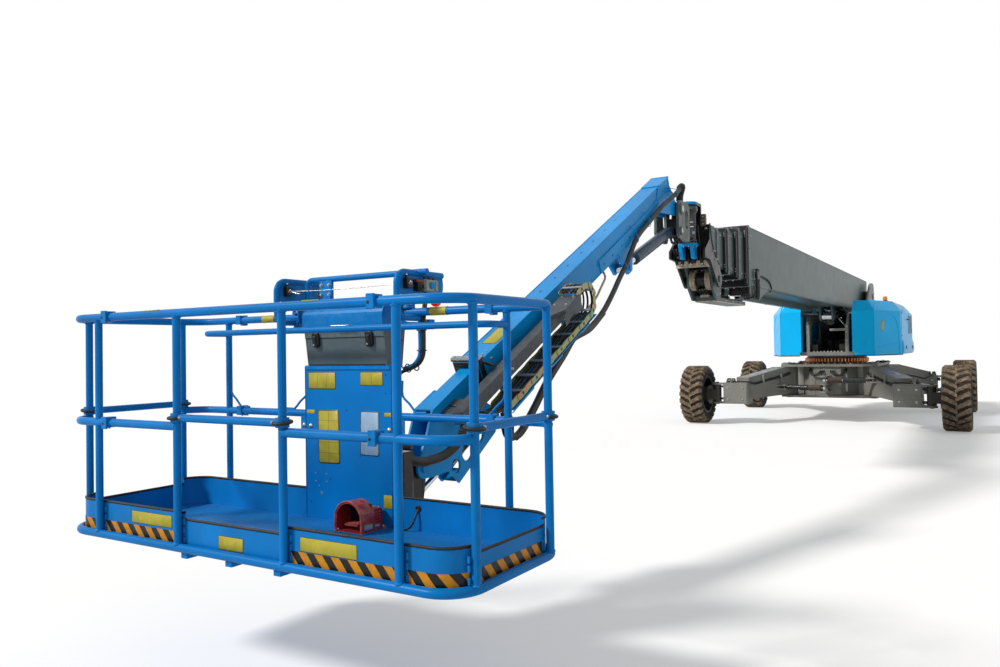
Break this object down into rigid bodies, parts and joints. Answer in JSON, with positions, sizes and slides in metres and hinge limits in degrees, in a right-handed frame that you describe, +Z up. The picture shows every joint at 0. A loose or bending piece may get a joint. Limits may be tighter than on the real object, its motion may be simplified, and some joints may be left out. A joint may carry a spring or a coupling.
{
  "type": "telescopic boom lift",
  "caption": "Mobile telescopic boom lift on swing-out legs with steered wheels, counterweighted slewing turntable, sliding boom, folding jib and railed work platform.",
  "frame": {"origin": "on the ground under the slewing axis", "axes": "+X forward along the boom, +Y to the machine's left, +Z up"},
  "size_m": [19.379, 5.03, 3.2738],
  "materials": {
    "chassis_paint": "satin grey",
    "boom_paint": "satin dark grey",
    "blue_paint": "semi-gloss blue",
    "black_paint": "satin black",
    "bronze": "greased bronze-brown",
    "ballast": "painted casting",
    "tyre_rubber": "dusty brown rubber",
    "hub_steel": "satin dark grey",
    "cylinder_black": "gloss black",
    "rod_chrome": "polished",
    "sheave_tan": "satin tan",
    "chain_zinc": "yellow zinc plate",
    "box_grey": "satin light grey",
    "pedal_red": "matte red",
    "engine_grey": "matte dark grey"
  },
  "bodies": {
    "chassis": {"chassis_frame": "chassis_paint", "slew_ring": "bronze"},
    "turntable": {"turntable_frame": "chassis_paint", "counterweight": "ballast", "engine": "engine_grey", "hood_left": "blue_paint", "hood_right": "blue_paint"},
    "left_cover": {"hood_left_cover": "blue_paint"},
    "right_cover": {"hood_right_cover": "blue_paint"},
    "boom": {"boom_base": "boom_paint"},
    "boom_2": {"boom_section_2": "boom_paint"},
    "boom_3": {"boom_section_3": "boom_paint"},
    "boom_4": {"boom_section_4": "boom_paint"},
    "boom_5": {"boom_tip": "boom_paint", "hose_sheaves": "sheave_tan"},
    "lift_barrel": {"lift_cylinder": "cylinder_black"},
    "lift_piston": {"lift_rod": "rod_chrome"},
    "nose": {"nose_bracket": "black_paint"},
    "yoke": {"jib_yoke": "boom_paint"},
    "jib_barrel": {"jib_cylinder": "cylinder_black"},
    "jib_piston": {"jib_rod": "rod_chrome"},
    "jib": {"jib_outer": "blue_paint"},
    "jib_slide": {"jib_inner": "blue_paint", "cable_carrier": "chain_zinc"},
    "level_barrel": {"level_cylinder": "cylinder_black"},
    "level_piston": {"level_rod": "rod_chrome"},
    "support": {"platform_support": "black_paint"},
    "platform": {"platform_mount": "black_paint", "platform_frame": "blue_paint", "platform_floor": "blue_paint", "console": "box_grey", "foot_pedal": "pedal_red"},
    "lid": {"console_lid": "blue_paint"},
    "front_gate": {"gate_front": "blue_paint"},
    "left_gate": {"gate_left": "blue_paint"},
    "right_gate": {"gate_right": "blue_paint"},
    "leg_front_left": {"leg_front_left": "chassis_paint"},
    "knuckle_front_left": {"knuckle_front_left": "hub_steel"},
    "wheel_front_left": {"tyre_front_left": "tyre_rubber", "wheel_front_left": "hub_steel"},
    "swing_barrel_front_left": {"swing_cylinder_front_left": "cylinder_black"},
    "swing_piston_front_left": {"swing_rod_front_left": "rod_chrome"},
    "leg_front_right": {"leg_front_right": "chassis_paint"},
    "knuckle_front_right": {"knuckle_front_right": "hub_steel"},
    "wheel_front_right": {"tyre_front_right": "tyre_rubber", "wheel_front_right": "hub_steel"},
    "swing_barrel_front_right": {"swing_cylinder_front_right": "cylinder_black"},
    "swing_piston_front_right": {"swing_rod_front_right": "rod_chrome"},
    "leg_rear_left": {"leg_rear_left": "chassis_paint"},
    "knuckle_rear_left": {"knuckle_rear_left": "hub_steel"},
    "wheel_rear_left": {"tyre_rear_left": "tyre_rubber", "wheel_rear_left": "hub_steel"},
    "swing_barrel_rear_left": {"swing_cylinder_rear_left": "cylinder_black"},
    "swing_piston_rear_left": {"swing_rod_rear_left": "rod_chrome"},
    "leg_rear_right": {"leg_rear_right": "chassis_paint"},
    "knuckle_rear_right": {"knuckle_rear_right": "hub_steel"},
    "wheel_rear_right": {"tyre_rear_right": "tyre_rubber", "wheel_rear_right": "hub_steel"},
    "swing_barrel_rear_right": {"swing_cylinder_rear_right": "cylinder_black"},
    "swing_piston_rear_right": {"swing_rod_rear_right": "rod_chrome"}
  },
  "joints": [
    {"name": "slew", "type": "hinge", "parent": "chassis", "child": "turntable", "pos_m": [0, 0, 1.28], "axis": [0, 0, 1], "continuous": true},
    {"name": "boom_lift", "type": "hinge", "parent": "turntable", "child": "boom", "pos_m": [-2.8, 0, 2.68], "axis": [0, -1, 0], "range_deg": [-2, 78]},
    {"name": "lift_cylinder_pivot", "type": "hinge", "parent": "turntable", "child": "lift_barrel", "pos_m": [-2.3, 0, 1.6], "axis": [0, -1, 0], "range_deg": [-2, 71.5]},
    {"name": "lift_cylinder_stroke", "type": "slide", "parent": "lift_barrel", "child": "lift_piston", "axis": [0.9878, 0, 0.1557], "range_m": [-0.04, 1.42]},
    {"name": "boom_extend", "type": "slide", "parent": "boom", "child": "boom_2", "axis": [1, 0, 0], "range_m": [0, 9.6]},
    {"name": "boom_extend_3", "type": "slide", "parent": "boom_2", "child": "boom_3", "axis": [1, 0, 0], "range_m": [0, 9.6]},
    {"name": "boom_extend_4", "type": "slide", "parent": "boom_3", "child": "boom_4", "axis": [1, 0, 0], "range_m": [0, 9.6]},
    {"name": "boom_extend_5", "type": "slide", "parent": "boom_4", "child": "boom_5", "axis": [1, 0, 0], "range_m": [0, 9.6]},
    {"name": "nose_level", "type": "hinge", "parent": "boom_5", "child": "nose", "pos_m": [9.15, 0, 2.32], "axis": [0, -1, 0], "range_deg": [-78, 2]},
    {"name": "jib_rotate", "type": "hinge", "parent": "nose", "child": "yoke", "pos_m": [9.62, 0, 2.9], "axis": [0, 0, 1], "range_deg": [-30, 30]},
    {"name": "jib_lift", "type": "hinge", "parent": "yoke", "child": "jib", "pos_m": [10.22, 0, 2.98], "axis": [0, 1, 0], "range_deg": [-95, 29.5]},
    {"name": "jib_cylinder_pivot", "type": "hinge", "parent": "yoke", "child": "jib_barrel", "pos_m": [10.244, 0, 2.75], "axis": [0, -1, 0], "range_deg": [-28.3, 90.9]},
    {"name": "jib_cylinder_stroke", "type": "slide", "parent": "jib_barrel", "child": "jib_piston", "axis": [0.9342, 0, -0.3567], "range_m": [-0.101, 0.324]},
    {"name": "jib_extend", "type": "slide", "parent": "jib", "child": "jib_slide", "axis": [0.8921, 0, -0.4518], "range_m": [0, 1.5]},
    {"name": "platform_level", "type": "hinge", "parent": "jib_slide", "child": "support", "pos_m": [14.58033, 0, 0.8838], "axis": [0, 1, 0], "range_deg": [-29.5, 95]},
    {"name": "level_cylinder_pivot", "type": "hinge", "parent": "jib_slide", "child": "level_barrel", "pos_m": [13.86488, 0, 1.07576], "axis": [0, -1, 0], "range_deg": [-2.4, 7.6]},
    {"name": "level_cylinder_stroke", "type": "slide", "parent": "level_barrel", "child": "level_piston", "axis": [0.8881, 0, -0.4596], "range_m": [-0.2605, 0.081]},
    {"name": "platform_rotate", "type": "hinge", "parent": "support", "child": "platform", "pos_m": [14.73033, 0, 0.82], "axis": [0, 0, -1], "range_deg": [-90, 90]},
    {"name": "console_lid_hinge", "type": "hinge", "parent": "platform", "child": "lid", "pos_m": [14.982, 0, 1.677], "axis": [0, -1, 0], "range_deg": [0, 75]},
    {"name": "front_gate_slide", "type": "slide", "parent": "platform", "child": "front_gate", "axis": [0, 0, 1], "range_m": [0, 0.4]},
    {"name": "left_gate_slide", "type": "slide", "parent": "platform", "child": "left_gate", "axis": [0, 0, 1], "range_m": [0, 0.4]},
    {"name": "right_gate_slide", "type": "slide", "parent": "platform", "child": "right_gate", "axis": [0, 0, 1], "range_m": [0, 0.4]},
    {"name": "left_cover_hinge", "type": "hinge", "parent": "turntable", "child": "left_cover", "pos_m": [-1.29, 0.488, 2.402], "axis": [1, 0, 0], "range_deg": [0, 70]},
    {"name": "right_cover_hinge", "type": "hinge", "parent": "turntable", "child": "right_cover", "pos_m": [-1.29, -0.488, 2.402], "axis": [-1, 0, 0], "range_deg": [0, 70]},
    {"name": "leg_front_left_swing", "type": "hinge", "parent": "chassis", "child": "leg_front_left", "pos_m": [0.85, 0.8, 0.81], "axis": [0, 0, -1], "range_deg": [0, 43.7]},
    {"name": "swing_cylinder_front_left_pivot", "type": "hinge", "parent": "leg_front_left", "child": "swing_barrel_front_left", "pos_m": [1.32, 0.8, 0.84], "axis": [0, 0, 1], "range_deg": [0, 64.9]},
    {"name": "swing_cylinder_front_left_stroke", "type": "slide", "parent": "swing_barrel_front_left", "child": "swing_piston_front_left", "axis": [0.2763, -0.9611, 0], "range_m": [-0.2365, 0]},
    {"name": "wheel_front_left_steer", "type": "hinge", "parent": "leg_front_left", "child": "knuckle_front_left", "pos_m": [2.25, 1.9, 0.6], "axis": [0, 0, 1], "range_deg": [-40, 43.7]},
    {"name": "wheel_front_left_roll", "type": "hinge", "parent": "knuckle_front_left", "child": "wheel_front_left", "pos_m": [2.25, 2.2925, 0.5775], "axis": [0, 1, 0], "continuous": true},
    {"name": "leg_front_right_swing", "type": "hinge", "parent": "chassis", "child": "leg_front_right", "pos_m": [0.85, -0.8, 0.81], "axis": [0, 0, 1], "range_deg": [0, 43.7]},
    {"name": "swing_cylinder_front_right_pivot", "type": "hinge", "parent": "leg_front_right", "child": "swing_barrel_front_right", "pos_m": [1.32, -0.8, 0.69], "axis": [0, 0, -1], "range_deg": [0, 64.9]},
    {"name": "swing_cylinder_front_right_stroke", "type": "slide", "parent": "swing_barrel_front_right", "child": "swing_piston_front_right", "axis": [0.2763, 0.9611, 0], "range_m": [-0.2365, 0]},
    {"name": "wheel_front_right_steer", "type": "hinge", "parent": "leg_front_right", "child": "knuckle_front_right", "pos_m": [2.25, -1.9, 0.6], "axis": [0, 0, -1], "range_deg": [-40, 43.7]},
    {"name": "wheel_front_right_roll", "type": "hinge", "parent": "knuckle_front_right", "child": "wheel_front_right", "pos_m": [2.25, -2.2925, 0.5775], "axis": [0, 1, 0], "continuous": true},
    {"name": "leg_rear_left_swing", "type": "hinge", "parent": "chassis", "child": "leg_rear_left", "pos_m": [-0.85, 0.8, 0.81], "axis": [0, 0, 1], "range_deg": [0, 43.7]},
    {"name": "swing_cylinder_rear_left_pivot", "type": "hinge", "parent": "leg_rear_left", "child": "swing_barrel_rear_left", "pos_m": [-1.32, 0.8, 0.84], "axis": [0, 0, -1], "range_deg": [0, 64.9]},
    {"name": "swing_cylinder_rear_left_stroke", "type": "slide", "parent": "swing_barrel_rear_left", "child": "swing_piston_rear_left", "axis": [-0.2763, -0.9611, 0], "range_m": [-0.2365, 0]},
    {"name": "wheel_rear_left_steer", "type": "hinge", "parent": "leg_rear_left", "child": "knuckle_rear_left", "pos_m": [-2.25, 1.9, 0.6], "axis": [0, 0, -1], "range_deg": [-40, 43.7]},
    {"name": "wheel_rear_left_roll", "type": "hinge", "parent": "knuckle_rear_left", "child": "wheel_rear_left", "pos_m": [-2.25, 2.2925, 0.5775], "axis": [0, 1, 0], "continuous": true},
    {"name": "leg_rear_right_swing", "type": "hinge", "parent": "chassis", "child": "leg_rear_right", "pos_m": [-0.85, -0.8, 0.81], "axis": [0, 0, -1], "range_deg": [0, 43.7]},
    {"name": "swing_cylinder_rear_right_pivot", "type": "hinge", "parent": "leg_rear_right", "child": "swing_barrel_rear_right", "pos_m": [-1.32, -0.8, 0.69], "axis": [0, 0, 1], "range_deg": [0, 64.9]},
    {"name": "swing_cylinder_rear_right_stroke", "type": "slide", "parent": "swing_barrel_rear_right", "child": "swing_piston_rear_right", "axis": [-0.2763, 0.9611, 0], "range_m": [-0.2365, 0]},
    {"name": "wheel_rear_right_steer", "type": "hinge", "parent": "leg_rear_right", "child": "knuckle_rear_right", "pos_m": [-2.25, -1.9, 0.6], "axis": [0, 0, 1], "range_deg": [-40, 43.7]},
    {"name": "wheel_rear_right_roll", "type": "hinge", "parent": "knuckle_rear_right", "child": "wheel_rear_right", "pos_m": [-2.25, -2.2925, 0.5775], "axis": [0, 1, 0], "continuous": true}
  ],
  "couplings": [
    {"joint": "lift_cylinder_pivot", "follows": "boom_lift", "ratio": 0.90893},
    {"joint": "lift_cylinder_stroke", "follows": "boom_lift", "m_per_rad": 1.0388},
    {"joint": "boom_extend_3", "follows": "boom_extend", "ratio": 1},
    {"joint": "boom_extend_4", "follows": "boom_extend", "ratio": 1},
    {"joint": "boom_extend_5", "follows": "boom_extend", "ratio": 1},
    {"joint": "nose_level", "follows": "boom_lift", "ratio": -1},
    {"joint": "jib_cylinder_pivot", "follows": "jib_lift", "ratio": -0.95643},
    {"joint": "jib_cylinder_stroke", "follows": "jib_lift", "m_per_rad": -0.19507},
    {"joint": "platform_level", "follows": "jib_lift", "ratio": -1},
    {"joint": "level_cylinder_pivot", "follows": "jib_lift", "ratio": -0.07927},
    {"joint": "level_cylinder_stroke", "follows": "jib_lift", "m_per_rad": 0.15697},
    {"joint": "swing_cylinder_front_left_pivot", "follows": "leg_front_left_swing", "ratio": 1.4832},
    {"joint": "swing_cylinder_front_left_stroke", "follows": "leg_front_left_swing", "m_per_rad": -0.30949},
    {"joint": "swing_cylinder_front_right_pivot", "follows": "leg_front_right_swing", "ratio": 1.4832},
    {"joint": "swing_cylinder_front_right_stroke", "follows": "leg_front_right_swing", "m_per_rad": -0.30949},
    {"joint": "swing_cylinder_rear_left_pivot", "follows": "leg_rear_left_swing", "ratio": 1.4832},
    {"joint": "swing_cylinder_rear_left_stroke", "follows": "leg_rear_left_swing", "m_per_rad": -0.30949},
    {"joint": "swing_cylinder_rear_right_pivot", "follows": "leg_rear_right_swing", "ratio": 1.4832},
    {"joint": "swing_cylinder_rear_right_stroke", "follows": "leg_rear_right_swing", "m_per_rad": -0.30949}
  ]
}
